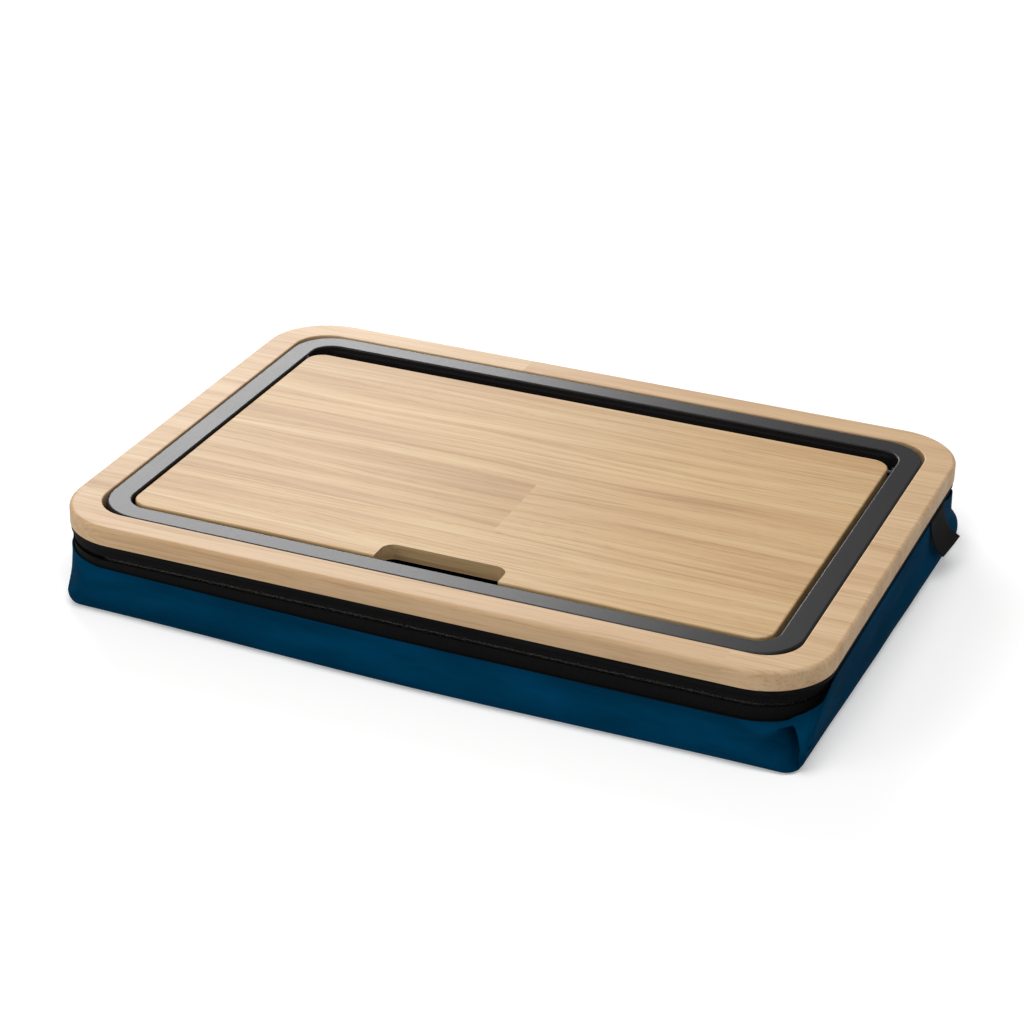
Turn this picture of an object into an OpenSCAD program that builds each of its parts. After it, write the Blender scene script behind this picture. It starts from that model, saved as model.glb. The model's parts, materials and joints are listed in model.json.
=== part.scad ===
// Lap desk with a lifting lid: a wooden frame and a moulded tray on a zipped cushion.
// The origin is the centre of the footprint, on the surface that the cushion lies on.
// +X runs along the long side, +Y to the back, +Z up. Millimetres.

/* [Wooden frame] */
// Width of the frame, left to right
frame_w = 490; // [440:5:540]
// Depth of the frame, front to back
frame_d = 348; // [310:4:390]
// Thickness of the frame
frame_t = 12; // [11:0.5:16]
// Width of the frame's bars
bar_w = 20; // [17:1:26]
// Outer corner radius of the frame
corner_r = 44; // [38:1:54]
// Rounding of the frame's top outer edge
frame_edge_r = 2.5; // [1:0.5:4]

/* [Base board] */
// Thickness of the board under the frame
board_t = 3.5; // [3:0.5:6]
// Step from the frame's side in to the board's edge
board_inset = 0.5; // [0.5:0.5:3]

/* [Tray] */
// Gap between the tray's rim and the frame
tray_gap = 0.5; // [0.3:0.1:1]
// Width of the rim
rim_w = 15.2; // [14:0.2:18]
// How far the rim's top lies below the frame's top
rim_sink = 0.6; // [0:0.2:1.4]
// How much rounder the rim's corner is than the frame's cut-out
rim_rounder = 6; // [3:1:9]
// Wall of the moulding
wall = 2.2; // [1.8:0.2:2.6]
// Width of the ledge that the lid closes on
ledge_w = 10.3; // [9:0.1:14]
// Depth of the storage space below the ledge
storage_depth = 23; // [16:1:26]
// Width of the groove for a standing phone, behind the lid
groove_w = 17.4; // [14:0.2:20]
// Depth of that groove below the ledge
groove_depth = 5; // [3:0.5:7]
// Width of the step along the groove's back wall
groove_step_w = 2.5; // [1.5:0.5:4]
// Depth of that step below the rim's top
groove_step_drop = 3.4; // [2.4:0.2:5]

/* [Lid] */
// Thickness of the lid
lid_t = 10; // [9:0.5:12]
// Gap between the lid's ends and the tray
lid_side_gap = 2.8; // [2.4:0.1:3.6]
// Gap between the lid's front edge and the tray
lid_front_gap = 1.9; // [1:0.1:3]
// Width of the finger notch
notch_w = 80; // [60:2:110]
// Depth of the finger notch, front to back
notch_d = 18; // [14:1:24]
// Corner radius of the finger notch
notch_r = 8; // [4:1:12]
// Thickness of the rubber bumpers under the lid
bumper_t = 1; // [0.6:0.1:1.6]
// Radius of the pivot pins
pin_r = 1.5; // [1.2:0.1:1.8]
// Length of a pivot pin inside the lid
pin_grip = 14; // [10:1:24]

/* [Cushion] */
// Height of the board's underside above the surface
cushion_h = 38.5; // [36:0.5:48]
// How far the cover's ends bulge past the frame
bulge_x = 2.4; // [1.5:0.1:6]
// How far the middle of the cover's front and back bulges past the frame
bulge_y = 14.5; // [8:0.5:18]
// How much less the front and back bulge at their ends
swell = 4; // [0:0.5:6]
// How far the cover is tucked in at its front left corner
tuck = 21; // [10:1:26]
// Dip of the cover's edge along the front
front_dip = 4; // [0:0.5:5]
// Depth of the fold at the front right corner
fold_depth = 8; // [0:1:10]
// Thickness of the cover
cover_t = 1.5; // [1:0.1:2]
// Radius of the cover's front corners at their widest
front_r = 12; // [8:1:20]
// Radius of the cover's rear corners at their widest
rear_r = 56; // [30:2:64]

/* [Zip] */
// Step from the frame's side in to the zip tape
tape_inset = 2; // [1.5:0.5:5]
// Thickness of the tape
tape_t = 1.2; // [0.8:0.1:1.4]
// Drop from the board to the zip's centre line
zip_drop = 6.5; // [5.5:0.5:7]
// Height of the lower tape below the centre line
tape_h = 11.5; // [11:0.5:14]
// Step from the rear end of the left side's zip to the slider
slider_park = 22.5; // [16:0.5:60]
// Length of the pull
pull_l = 22; // [14:1:26]

/* [Label] */
// Width of the bare woven label
label_w = 30; // [20:1:40]
// Step from the rear end of the right side's zip to the label
label_in = 38; // [30:1:70]

/* [Hidden] */
$fn = 64;
eps = 0.01;

wood = [0.84, 0.72, 0.57];
lid_wood = [0.81, 0.68, 0.52];
charcoal = [0.2, 0.2, 0.21];
black = [0.09, 0.09, 0.1];
teal = [0.03, 0.18, 0.27];
steel = [0.7, 0.71, 0.73];
foam = [0.86, 0.85, 0.8];

// Gaps between seated pieces
seat_gap = 0.3;
thread_gap = 0.02;
running_gap = 0.06;

// Levels, from the surface up
board_top = cushion_h + board_t;
frame_top = board_top + frame_t;
rim_top = frame_top - rim_sink;
lid_rise = 0.6;
lid_top = rim_top + lid_rise;
lid_z = lid_top - lid_t;
ledge_z = lid_z - bumper_t;
storage_z = ledge_z - storage_depth;
groove_z = ledge_z - groove_depth;

// Plan of the frame, the board and the tapes, which share their corner centres
core_x = frame_w / 2 - corner_r;
core_y = frame_d / 2 - corner_r;
bar_inner_r = corner_r - bar_w;
tape_r = corner_r - tape_inset;

// Plan of the tray
rim_r = bar_inner_r + rim_rounder;
rim_core_x = core_x + bar_inner_r - tray_gap - rim_r;
rim_core_y = core_y + bar_inner_r - tray_gap - rim_r;
open_r = rim_r - rim_w;
open_x = rim_core_x + open_r;
open_y = rim_core_y + open_r;
storage_x = open_x - ledge_w;
storage_r = 3;
front_ledge_w = ledge_w - 0.9;
hand_margin = 5;
hand_depth = 13;
hand_x = notch_w / 2 + hand_margin;
hand_z = ledge_z - hand_depth;

// Plan of the lid
lid_x = open_x - lid_side_gap;
lid_front = -open_y + lid_front_gap;
lid_rear = open_y - groove_w;
lid_y = (lid_front + lid_rear) / 2;
lid_r = max(open_r - lid_side_gap, 3);
storage_front = -open_y + front_ledge_w;
storage_rear = lid_rear - lid_t;

// Pivot of the lid, half its thickness in from its rear edge. The ledge under it is lower,
// so that the lid's rear corner turns clear of it.
pivot_y = lid_rear - lid_t / 2;
pivot_z = lid_z + lid_t / 2;
turning_r = lid_t / sqrt(2);
rear_ledge_z = pivot_z - turning_r - seat_gap;
bush_wall = 1.1;
bush_r = pin_r + bush_wall;
bush_flange_t = 1;
boss_wall = 1.4;
boss_l = 6.2;
boss_end = open_x + boss_l;
pin_play = 0.2;
pin_head_r = pin_r + 0.6;
pin_head_t = 1.4;

// Screws
screw_r = 1.5;
screw_head_r = 3.2;
screw_head_h = 1.9;
frame_screw_cover = 4;
tray_screw_grip = 8;
frame_screw_l = board_t + frame_t - frame_screw_cover;
tray_screw_l = board_t + tray_screw_grip;
tip_room = 0.5;
boss_r = 3.6;
frame_screw_r = bar_inner_r + 6;
tray_screw_r = rim_r - rim_w / 2;
frame_screws_at = concat(
    [for (x = [-0.7, 0, 0.7], s = [-1, 1]) [x * core_x, s * (core_y + frame_screw_r)]],
    [for (y = [-0.54, 0.54], s = [-1, 1]) [s * (core_x + frame_screw_r), y * core_y]]);
tray_screws_at = concat(
    [for (x = [-0.82, -0.27, 0.27, 0.82], s = [-1, 1])
        [x * rim_core_x, s * (rim_core_y + tray_screw_r)]],
    [for (y = [-0.5, 0.5], s = [-1, 1]) [s * (rim_core_x + tray_screw_r), y * rim_core_y]]);

// Zip: two chain halves on one centre line, with a slit that the slider's web runs in
zip_z = cushion_h - zip_drop;
chain_slit = 0.8;
chain_h = 1;
chain_in = tape_r - tape_t - 0.4;
chain_out = tape_r + 0.6;
seam_r = tape_r + 0.7;
collar_z = zip_z + chain_slit / 2 + chain_h;
lower_tape_top = zip_z - chain_slit / 2 - chain_h;
lower_tape_z = zip_z - tape_h;
collar_flange_t = 0.8;
collar_flange_w = 6;
slider_l = 12;
slider_h = 6.8;
slider_y = core_y - slider_park;
slider_plate_t = 1.1;
slider_web_l = 7;
slider_web_t = 0.5;
pull_t = 1;
ear_gap = 2.2;
ear_t = 1;
ear_r = 1.3;
pull_pin_r = 0.55;
knuckle_r = 1.1;
pull_axis_r = chain_out + seat_gap + slider_plate_t + knuckle_r;

// Cover of the cushion. A level is a share f of the height; it is round at the bottom,
// widest at f = round_f and meets the zip at the top.
round_f = 0.3;
round_in = 5;
front_skew = 5;
right_taper = 2.4;
rear_taper = 1.6;
cover_top = zip_z - 6;
cover_top_right = cushion_h - 1.1;
cover_in_r = chain_out + 0.9;
cover_out_r = cover_in_r + 0.9;
cover_x = frame_w / 2 + bulge_x;
cover_y = frame_d / 2 + bulge_y;
cover_ends_y = cover_y - swell;
outer_levels = [0, 0.04, 0.1, 0.18, round_f, 0.45, 0.6, 0.75, 0.88, 1];
inner_levels = [1, 0.75, 0.45, round_f, 0.12];
corner_steps = 8;
short_steps = 8;
long_steps = 12;
fold_at = 2.7;
fold_width = 1.3;

// A rounded plate between two heights
module plate(half_x, half_y, r, z0, z1) {
    translate([0, 0, z0]) linear_extrude(z1 - z0) {
        square([2 * half_x, 2 * (half_y - r)], center = true);
        square([2 * (half_x - r), 2 * half_y], center = true);
        for (x = [-1, 1], y = [-1, 1])
            translate([x * (half_x - r), y * (half_y - r)]) circle(r);
    }
}

// A block from one corner to the opposite one
module block(low, high) {
    translate(low) cube(high - low);
}

// A profile (distance from the corner centre, height) run along one side
module side_run(distance, length) {
    translate([distance, 0, 0]) rotate([90, 0, 0]) linear_extrude(length, center = true) children();
}

// The same profile round the corner that starts at angle a
module corner_run(cx, cy, a) {
    translate([cx, cy, 0]) rotate(a) rotate_extrude(angle = 90) children();
}

// The profile all the way round
module ring_run(cx, cy) {
    for (a = [0, 180]) {
        rotate(a) side_run(cx, 2 * cy) children();
        rotate(a + 90) side_run(cy, 2 * cx) children();
        rotate(a) corner_run(cx, cy, 0) children();
        rotate(a + 90) corner_run(cy, cx, 0) children();
    }
}

// The profile along the left, front and right sides, which the zip opens
module three_side_run(cx, cy) {
    for (a = [0, 180]) rotate(a) side_run(cx, 2 * cy) children();
    rotate(270) side_run(cy, 2 * cx) children();
    rotate(180) corner_run(cx, cy, 0) children();
    rotate(270) corner_run(cy, cx, 0) children();
}

// The profile along the back and its two corners
module back_run(cx, cy) {
    rotate(90) side_run(cy, 2 * cx) children();
    corner_run(cx, cy, 0) children();
    rotate(90) corner_run(cy, cx, 0) children();
}

// A flat profile rectangle from (r0, z0) to (r1, z1)
module strip(r0, r1, z0, z1) {
    translate([r0, z0]) square([r1 - r0, z1 - z0]);
}

// A profile rectangle with its two top corners rounded
module rounded_strip(r0, r1, z0, z1, in_r, out_r) {
    strip(r0, r1, z0, z1 - max(in_r, out_r));
    strip(r0 + in_r, r1 - out_r, z0, z1);
    strip(r0, r1 - out_r, z0, z1 - in_r);
    strip(r0 + in_r, r1, z0, z1 - out_r);
    translate([r0 + in_r, z1 - in_r]) circle(in_r);
    translate([r1 - out_r, z1 - out_r]) circle(out_r);
}

// A countersunk screw with a cross recess, head down
module screw(length) {
    difference() {
        union() {
            cylinder(h = screw_head_h, r1 = screw_head_r, r2 = screw_r);
            cylinder(h = length, r = screw_r);
        }
        for (a = [0, 90]) rotate(a) translate([-1.8, -0.4, -eps]) cube([3.6, 0.8, 1.2]);
    }
}

// The clearance hole and countersink of that screw
module screw_hole(length) {
    cylinder(h = length, r = screw_r + 0.3);
    translate([0, 0, -eps])
        cylinder(h = screw_head_h + eps, r1 = screw_head_r + 0.2, r2 = screw_r + 0.3);
}

module ring_frame() {
    color(wood) difference() {
        ring_run(core_x, core_y)
            rounded_strip(bar_inner_r, corner_r, board_top, frame_top, 0.8, frame_edge_r);
        for (p = frame_screws_at)
            translate([p.x, p.y, board_top - eps])
                cylinder(h = frame_screw_l - board_t + tip_room, r = screw_r + thread_gap);
    }
}

module base_board() {
    color(black) difference() {
        plate(frame_w / 2 - board_inset, frame_d / 2 - board_inset, corner_r - board_inset,
            cushion_h, board_top);
        plate(open_x + wall + seat_gap, open_y + wall + seat_gap, open_r + wall + seat_gap,
            cushion_h - 1, board_top + 1);
        for (p = concat(frame_screws_at, tray_screws_at))
            translate([p.x, p.y, cushion_h]) screw_hole(board_t + 1);
    }
}

module frame_screws() {
    color(steel) for (p = frame_screws_at) translate([p.x, p.y, cushion_h]) screw(frame_screw_l);
}

module tray_screws() {
    color(steel) for (p = tray_screws_at) translate([p.x, p.y, cushion_h]) screw(tray_screw_l);
}

// The rim's hollow section, open underneath
module rim_section() {
    difference() {
        rounded_strip(open_r, rim_r, board_top, rim_top, 1.2, 1.6);
        strip(open_r + wall, rim_r - wall, board_top - 1, rim_top - wall);
    }
}

// Cross ribs and screw bosses inside the rim
module rim_ribs() {
    rib_t = 1.6;
    rib_w = rim_w - 2 * wall + 2 * eps;
    for (s = [-1, 1], i = [-3:3])
        translate([i * rim_core_x / 3.6 - rib_t / 2, s * (rim_core_y + tray_screw_r) - rib_w / 2,
            board_top]) cube([rib_t, rib_w, rim_top - wall - board_top + eps]);
    for (s = [-1, 1], i = [-2:2])
        translate([s * (rim_core_x + tray_screw_r) - rib_w / 2, i * rim_core_y / 3 - rib_t / 2,
            board_top]) cube([rib_w, rib_t, rim_top - wall - board_top + eps]);
    for (p = tray_screws_at)
        translate([p.x, p.y, board_top]) cylinder(h = rim_top - wall / 2 - board_top, r = boss_r);
}

// The solid outside of the tub, the groove and the hand pocket
module tub_body() {
    plate(open_x + wall, open_y + wall, open_r + wall, ledge_z - wall, board_top + wall);
    block([-storage_x - wall, storage_front - wall, storage_z - wall],
        [storage_x + wall, storage_rear + wall, ledge_z - eps]);
    intersection() {
        plate(open_x + wall, open_y + wall, open_r + wall, groove_z - wall, ledge_z);
        block([-open_x - wall, storage_rear, groove_z - wall], [open_x + wall, open_y + wall, ledge_z]);
    }
    block([-hand_x - wall, -open_y - wall, hand_z - wall], [hand_x + wall, storage_front, ledge_z - eps]);
}

// What is hollowed out of it
module tub_space() {
    plate(open_x, open_y, open_r, ledge_z, rim_top + 1);
    translate([0, (storage_front + storage_rear) / 2, 0])
        plate(storage_x, (storage_rear - storage_front) / 2, storage_r, storage_z, ledge_z + 1);
    intersection() {
        plate(open_x, open_y, open_r, groove_z, ledge_z + 1);
        block([-open_x, lid_rear, groove_z], [open_x, open_y, ledge_z + 1]);
    }
    block([-open_x, storage_rear - eps, rear_ledge_z], [open_x, lid_rear + eps, ledge_z + 1]);
    block([-hand_x, -open_y, hand_z], [hand_x, storage_front + storage_r, ledge_z + 1]);
}

// The step along the groove's back wall
module groove_step() {
    intersection() {
        plate(open_x + eps, open_y + eps, open_r, groove_z - eps, rim_top - groove_step_drop);
        block([-open_x, open_y - groove_step_w, groove_z - eps],
            [open_x, open_y + eps, rim_top - groove_step_drop]);
    }
}

module tray() {
    color(charcoal) difference() {
        union() {
            difference() {
                tub_body();
                tub_space();
            }
            ring_run(rim_core_x, rim_core_y) rim_section();
            rim_ribs();
            groove_step();
            for (s = [-1, 1]) translate([s * (open_x + wall / 2), pivot_y, pivot_z])
                rotate([0, s * 90, 0]) cylinder(h = boss_l - wall / 2, r = bush_r + boss_wall);
        }
        for (p = tray_screws_at) translate([p.x, p.y, board_top - eps])
            cylinder(h = tray_screw_l - board_t + tip_room, r = screw_r + thread_gap);
        for (s = [-1, 1]) translate([s * (open_x - 1), pivot_y, pivot_z]) rotate([0, s * 90, 0]) {
            cylinder(h = boss_l + 2, r = bush_r + thread_gap);
            translate([0, 0, boss_l + 1]) cylinder(h = rim_w, r = pin_head_r + seat_gap);
        }
    }
}

module lid_bumpers() {
    bumper_r = 3;
    inset = bumper_r + 0.75;
    places = [[0.73 * lid_x, lid_front + inset], [lid_x - inset, 0.35 * lid_rear]];
    color(black) for (s = [-1, 1], p = places)
        translate([s * p.x, p.y, ledge_z]) cylinder(h = bumper_t, r = bumper_r);
}

// The finger notch, cut from the lid's front edge
module notch() {
    translate([0, lid_front - 1, lid_z - 1]) linear_extrude(lid_t + 2) {
        translate([-notch_w / 2, 0]) square([notch_w, notch_d + 1 - notch_r]);
        translate([-notch_w / 2 + notch_r, 0]) square([notch_w - 2 * notch_r, notch_d + 1]);
        for (s = [-1, 1])
            translate([s * (notch_w / 2 - notch_r), notch_d + 1 - notch_r]) circle(notch_r);
    }
}

module lid_panel() {
    edge_x = lid_x - lid_r;
    edge_y = (lid_rear - lid_front) / 2 - lid_r;
    color(lid_wood) difference() {
        translate([0, lid_y, 0]) {
            translate([-edge_x, -edge_y, lid_z]) cube([2 * edge_x, 2 * edge_y, lid_t]);
            ring_run(edge_x, edge_y) difference() {
                rounded_strip(-1, lid_r, lid_z, lid_top, 0.2, 1);
                strip(-2, 0, lid_z - 1, lid_top + 1);
            }
        }
        notch();
        for (s = [-1, 1]) translate([s * (lid_x - pin_grip - pin_play), pivot_y, pivot_z])
            rotate([0, s * 90, 0]) cylinder(h = pin_grip + 1, r = pin_r + thread_gap);
    }
}

// Pivot pin of one end of the lid, with its head inside the rim
module hinge_pin(s) {
    shaft_l = boss_end + pin_play - lid_x + pin_grip;
    color(steel) translate([s * (lid_x - pin_grip), pivot_y, pivot_z]) rotate([0, s * 90, 0]) {
        cylinder(h = shaft_l, r = pin_r);
        translate([0, 0, shaft_l]) cylinder(h = pin_head_t, r = pin_head_r);
    }
}

// Flanged bush that the pin turns in
module hinge_bush(s) {
    bush_l = boss_l + bush_flange_t;
    color(black) translate([s * (open_x - bush_flange_t), pivot_y, pivot_z]) rotate([0, s * 90, 0])
        difference() {
            union() {
                cylinder(h = bush_l, r = bush_r);
                cylinder(h = bush_flange_t, r = bush_r + 1);
            }
            translate([0, 0, -1]) cylinder(h = bush_l + 2, r = pin_r + running_gap);
        }
}

module zip_collar() {
    color(black) ring_run(core_x, core_y) {
        strip(tape_r - tape_t, tape_r, collar_z, cushion_h);
        strip(tape_r - collar_flange_w, tape_r, cushion_h - collar_flange_t, cushion_h);
    }
}

module zip_lower_tape() {
    color(black) three_side_run(core_x, core_y) {
        strip(tape_r - tape_t, tape_r, lower_tape_z, lower_tape_top);
        strip(tape_r - tape_t, seam_r, lower_tape_z, cover_top - front_dip - 0.5);
    }
}

module zip_chain(z0) {
    color(black) three_side_run(core_x, core_y) strip(chain_in, chain_out, z0, z0 + chain_h);
}

module rear_gusset() {
    color(black) back_run(core_x, core_y) {
        strip(tape_r - tape_t, tape_r, lower_tape_z, collar_z);
        strip(tape_r - tape_t, seam_r, lower_tape_z, cover_top - front_dip - 0.5);
    }
}

// A crimped stop across both chain halves at each end of the zip
module zip_end_stops() {
    stop_l = 3;
    clip_t = 0.5;
    color(steel) for (s = [-1, 1], r = [chain_in - clip_t - 0.05, chain_out + 0.05])
        translate([s > 0 ? core_x + r : -core_x - r - clip_t, core_y - stop_l - 1,
            zip_z - chain_slit / 2 - chain_h])
            cube([clip_t, stop_l, chain_slit + 2 * chain_h]);
}

// Slider on the left side: two plates joined by a web, with ears for the pull's pin
module zip_slider() {
    inner_t = 0.8;
    inner = chain_in - seat_gap - inner_t;
    outer = chain_out + seat_gap;
    nose = 2;
    nose_h = 3.2;
    color(steel) translate([-core_x, slider_y, zip_z]) mirror([1, 0, 0]) {
        translate([inner, -slider_l / 2, -slider_h / 2]) cube([inner_t, slider_l, slider_h]);
        translate([outer, -slider_l / 2, 0]) rotate([90, 0, 90]) linear_extrude(slider_plate_t)
            polygon([[0, -slider_h / 2], [slider_l - nose, -slider_h / 2], [slider_l, -nose_h / 2],
                [slider_l, nose_h / 2], [slider_l - nose, slider_h / 2], [0, slider_h / 2]]);
        translate([inner, -slider_l / 2, -slider_web_t / 2])
            cube([outer - inner + eps, slider_web_l, slider_web_t]);
        for (s = [-1, 1])
            translate([outer, 0, s * (ear_gap + ear_t) / 2]) {
                translate([slider_plate_t - eps, -ear_r, -ear_t / 2])
                    cube([pull_axis_r - outer - slider_plate_t, 2 * ear_r, ear_t]);
                translate([pull_axis_r - outer, 0, -ear_t / 2]) cylinder(h = ear_t, r = ear_r);
            }
        translate([pull_axis_r, 0, -ear_gap / 2 - eps]) cylinder(h = ear_gap + 2 * eps, r = pull_pin_r);
    }
}

// Pull: a knuckle on the slider's pin and a flat grip with a slot
module zip_pull() {
    knuckle_h = ear_gap - 0.4;
    neck_l = 4;
    grip_h = 4.4;
    slot_l = 7;
    color(steel) translate([-core_x - pull_axis_r, slider_y, zip_z]) difference() {
        union() {
            translate([0, 0, -knuckle_h / 2]) cylinder(h = knuckle_h, r = knuckle_r);
            translate([-pull_t / 2, 0, -knuckle_h / 2]) cube([pull_t, neck_l + eps, knuckle_h]);
            translate([-pull_t / 2, neck_l, -grip_h / 2])
                cube([pull_t, pull_l - neck_l - grip_h / 2, grip_h]);
            translate([-pull_t / 2, pull_l - grip_h / 2, 0]) rotate([0, 90, 0])
                cylinder(h = pull_t, r = grip_h / 2);
        }
        translate([0, 0, -knuckle_h]) cylinder(h = 2 * knuckle_h, r = pull_pin_r + running_gap);
        translate([-pull_t, pull_l - grip_h / 2 - slot_l, -grip_h / 6])
            cube([2 * pull_t, slot_l, grip_h / 3]);
    }
}

// How far a level f below the widest one lies inside it
function rounded_in(f) = f < round_f ? round_in * (1 - sqrt(1 - pow(1 - f / round_f, 2))) : 0;

// Reach and radius of corner k: 0 front right, 1 rear right, 2 rear left, 3 front left
function corner_sign(k) = [[1, -1], [1, 1], [-1, 1], [-1, -1]][k % 4];
function wide_corner(k) = [
    [cover_x - right_taper, cover_ends_y + front_skew / 2, front_r],
    [cover_x - rear_taper, cover_ends_y, rear_r],
    [cover_x - rear_taper, cover_ends_y, rear_r],
    [cover_x - tuck, cover_ends_y - front_skew / 2, front_r]][k % 4];
zip_corner = [core_x + cover_out_r, core_y + cover_out_r, cover_out_r];

// How far the side after corner k swells outward at its middle
function side_swell(k) = k == 0 ? [(right_taper + rear_taper) / 2, 0]
    : k == 1 ? [0, swell]
    : k == 2 ? [-(tuck + rear_taper) / 2, 0]
    : [0, -swell];
function side_steps(k) = k % 2 == 0 ? short_steps : long_steps;

// Step j of the arc at corner k, made smaller all round by inset
function arc_point(k, j, corner, inset) =
    let (c = corner_sign(k), a = 90 * (k - 1) + 90 * j / corner_steps, r = corner.z - inset)
    [c.x * (corner.x - corner.z) + r * cos(a), c.y * (corner.y - corner.z) + r * sin(a)];

// Past the corner's arc, j goes on along the side
function side_share(k, j) = max(0, (j - corner_steps) / side_steps(k));
function outline_point(k, j, corner, next_corner, inset, swollen) = j <= corner_steps
    ? arc_point(k, j, corner, inset)
    : let (t = side_share(k, j))
        arc_point(k, corner_steps, corner, inset) * (1 - t) + arc_point(k + 1, 0, next_corner, inset) * t
        + swollen * pow(sin(180 * t), 2);

// How much a point hangs straight down from the zip: the left side, up to the tucked corner
function hanging(k, j) = k == 2 ? pow(sin(90 * min(1, max(0, (side_share(k, j) - 0.25) / 0.3))), 2)
    : k == 3 ? pow(cos(90 * min(1, j / corner_steps)), 2)
    : 0;

// Share of the zip's outline in the outline at level f
function zip_share(k, j, f) =
    let (h = hanging(k, j), s = max(0, (f - round_f) / (1 - round_f)) / (1 - 0.4 * h))
    pow(min(1, s), 2 * pow(0.05, h));

// A point of the cover's plan at level f: its widest outline passes into the zip's
function cover_point(k, j, f, wide_inset, zip_inset) =
    let (w = zip_share(k, j, f))
    outline_point(k, j, wide_corner(k), wide_corner(k + 1), rounded_in(f) + wide_inset, side_swell(k))
        * (1 - w)
    + outline_point(k, j, zip_corner, zip_corner, zip_inset, [0, 0]) * w;

// Height of the cover's edge: it dips along the front and rises over the zip on the right
function climb(k, j) = k == 0 ? pow(sin(90 * min(1, max(0, (j - fold_at) / 3))), 2)
    : k == 1 ? pow(cos(90 * min(1, j / corner_steps)), 2)
    : 0;
function dip(k, j) = k == 3 ? sin(150 * side_share(k, j)) : k == 0 ? max(0, 1 - j / corner_steps) / 2 : 0;
function edge_height(k, j) = cover_top - front_dip * dip(k, j) + (cover_top_right - cover_top) * climb(k, j);

// The fold at the front right corner, at its deepest half way up
function fold(k, j, f) = k == 0 ? fold_depth * exp(-pow((j - fold_at) / fold_width, 2)) * sin(180 * f) : 0;

// A closed ring of points at level f, on the outer or the inner face
function cover_ring(f, inside) = [for (k = [0:3], j = [0:corner_steps + side_steps(k) - 1])
    let (p = cover_point(k, j, f, inside ? cover_t : 0, inside ? cover_out_r - cover_in_r : 0),
        in = fold(k, j, f) / sqrt(2))
    [p.x - in, p.y + in, f * edge_height(k, j)]];

module pouch() {
    rings = concat(
        [for (f = outer_levels) cover_ring(f, false)],
        [for (f = inner_levels) cover_ring(f, true)],
        [[for (p = cover_ring(0, true)) [p.x, p.y, cover_t]]]);
    n = len(rings[0]);
    last = (len(rings) - 1) * n;
    points = [for (ring = rings, p = ring) p];
    sides = [for (m = [0:len(rings) - 2], i = [0:n - 1])
        let (a = m * n + i, b = m * n + (i + 1) % n)
        each [[a, a + n, b + n], [a, b + n, b]]];
    bottom = [for (i = [0:n - 1]) i];
    floor_inside = [for (i = [n - 1:-1:0]) last + i];
    color(teal) polyhedron(points = points, faces = concat([bottom], sides, [floor_inside]));
}

// Foam pad that fills the cover, with a hollow for the tray
module cushion_insert() {
    gap = 0.8;
    pad_r = chain_in - 4.5;
    right = core_x + pad_r;
    back = core_y + pad_r;
    left = cover_x - tuck - cover_t - gap;
    behind_tuck = 0.46 * core_y;
    z0 = cover_t + seat_gap;
    z1 = cushion_h - collar_flange_t - seat_gap;
    color(foam) difference() {
        union() {
            translate([(right - left) / 2, 0, 0]) plate((right + left) / 2, back, pad_r, z0, z1);
            translate([0, (back - behind_tuck) / 2, 0])
                plate(right, (back + behind_tuck) / 2, pad_r, z0, z1);
        }
        block([-storage_x - wall - gap, storage_front - wall - gap, storage_z - wall - seat_gap],
            [storage_x + wall + gap, storage_rear + wall + gap, cushion_h]);
        block([-open_x - wall - gap, storage_rear - gap, groove_z - wall - seat_gap],
            [open_x + wall + gap, open_y + wall + gap, cushion_h]);
        block([-hand_x - wall - gap, -open_y - wall - gap, hand_z - wall - seat_gap],
            [hand_x + wall + gap, 0, cushion_h]);
    }
}

// Bare woven label: it comes out under the board and lies over the right side of the cover
module woven_label() {
    label_t = 0.6;
    label_y = core_y - label_in;
    off = 0.35;
    levels = [0.4, 0.55, 0.7, 0.82, 0.92, 0.98];
    side_start = front_r - cover_ends_y - front_skew / 2;
    side_length = cover_ends_y - rear_r - side_start;
    j = corner_steps + short_steps * (label_y - label_w / 2 - side_start) / side_length;
    under = [for (f = levels) [cover_point(0, j, f, 0, 0).x + off, f * cover_top_right]];
    over = [for (i = [len(levels) - 1:-1:0]) under[i] + [label_t, 0]];
    crest = core_x + cover_out_r + off;
    color(black) translate([0, label_y + label_w / 2, 0]) rotate([90, 0, 0])
        linear_extrude(label_w) polygon(concat(under,
            [[crest, cover_top_right + off], [core_x + tape_r + seat_gap, cover_top_right + off],
                [core_x + tape_r + seat_gap, cover_top_right + off + label_t],
                [crest + label_t, cover_top_right + off + label_t]], over));
}

ring_frame();
base_board();
frame_screws();
tray();
tray_screws();
lid_bumpers();
lid_panel();
hinge_pin(-1);  // hinge_pin_left
hinge_pin(1);  // hinge_pin_right
hinge_bush(-1);  // hinge_bush_left
hinge_bush(1);  // hinge_bush_right
zip_collar();
zip_chain(zip_z + chain_slit / 2);  // zip_chain_upper
zip_chain(zip_z - chain_slit / 2 - chain_h);  // zip_chain_lower
zip_lower_tape();
rear_gusset();
zip_end_stops();
zip_slider();
zip_pull();
pouch();
cushion_insert();
woven_label();
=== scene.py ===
"""Looks of the lap desk: oak frame and lid, moulded tray, zip band and coated fabric cover."""

import json
import math

import bpy
from mathutils import Matrix, Vector


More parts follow.
